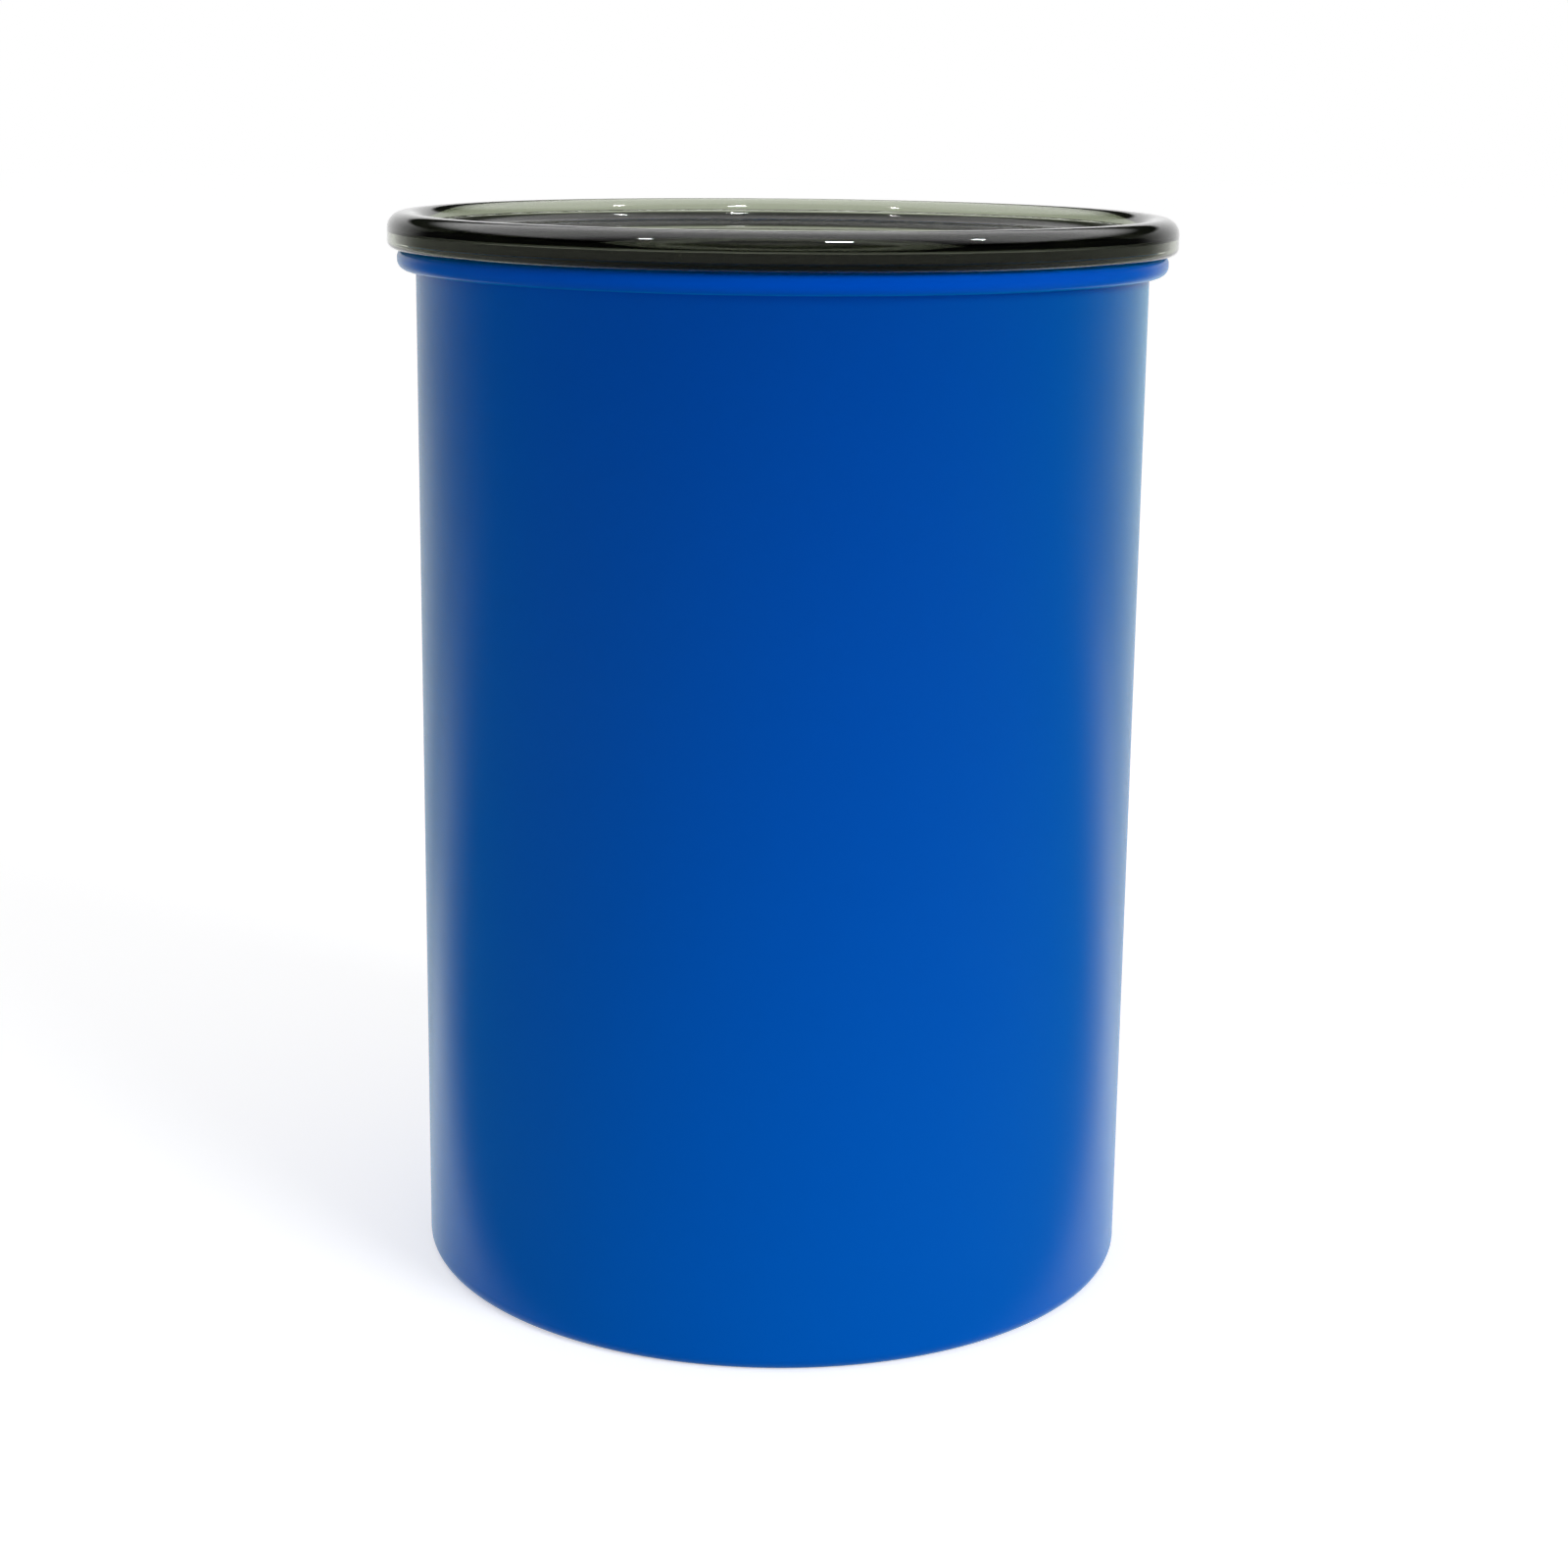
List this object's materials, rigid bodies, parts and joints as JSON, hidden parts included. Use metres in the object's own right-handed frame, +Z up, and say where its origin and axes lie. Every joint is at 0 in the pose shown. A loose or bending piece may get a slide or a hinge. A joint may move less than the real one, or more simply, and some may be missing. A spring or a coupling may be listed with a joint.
{
  "type": "coffee canister with valve",
  "caption": "Steel coffee canister with a clear outer lid and a sliding inner lid that presses the air out through a valve worked by its folding handle.",
  "frame": {"origin": "centre of the base, on the surface it stands on", "axes": "+Z up along the canister, -Y the front, +X to the right as the front is seen"},
  "size_m": [0.1304, 0.1304, 0.1785],
  "materials": {
    "painted_shell": "satin",
    "smoke_plastic": "clear smoke gloss",
    "black_silicone": "matte",
    "black_plastic": "fine matte",
    "grey_plastic": "satin",
    "plain_steel": "satin"
  },
  "bodies": {
    "canister": {"canister_shell": "painted_shell"},
    "outer_lid": {"lid_cover": "smoke_plastic", "lid_seal_ring": "black_silicone"},
    "plunger": {"plunger_plate": "black_plastic", "plunger_lower_plate": "black_plastic", "wiper_gasket": "black_silicone", "plate_screws": "plain_steel", "valve_housing": "grey_plastic", "housing_nut": "grey_plastic", "housing_seal": "black_silicone", "filter_mesh": "plain_steel", "mesh_retainer": "grey_plastic", "hub_cover": "black_plastic", "cover_screws": "plain_steel"},
    "handle": {"handle_bail": "black_plastic", "handle_axle": "plain_steel", "valve_cam": "grey_plastic"},
    "valve": {"valve_stem": "grey_plastic", "valve_disc": "black_silicone", "stem_clip": "plain_steel", "valve_spring": "plain_steel"}
  },
  "joints": [
    {"name": "outer_lid_lift", "type": "slide", "parent": "canister", "child": "outer_lid", "axis": [0, 0, 1], "range_m": [0, 0.09]},
    {"name": "plunger_slide", "type": "slide", "parent": "canister", "child": "plunger", "axis": [0, 0, 1], "range_m": [-0.1, 0]},
    {"name": "handle_fold", "type": "hinge", "parent": "plunger", "child": "handle", "pos_m": [0, 0, 0.1258], "axis": [-1, 0, 0], "range_deg": [0, 90]},
    {"name": "valve_lift", "type": "slide", "parent": "plunger", "child": "valve", "axis": [0, 0, 1], "range_m": [-0.002, 0], "deforming": ["valve_spring"]}
  ],
  "couplings": [
    {"joint": "valve_lift", "follows": "handle_fold", "m_per_rad": -0.00127}
  ]
}
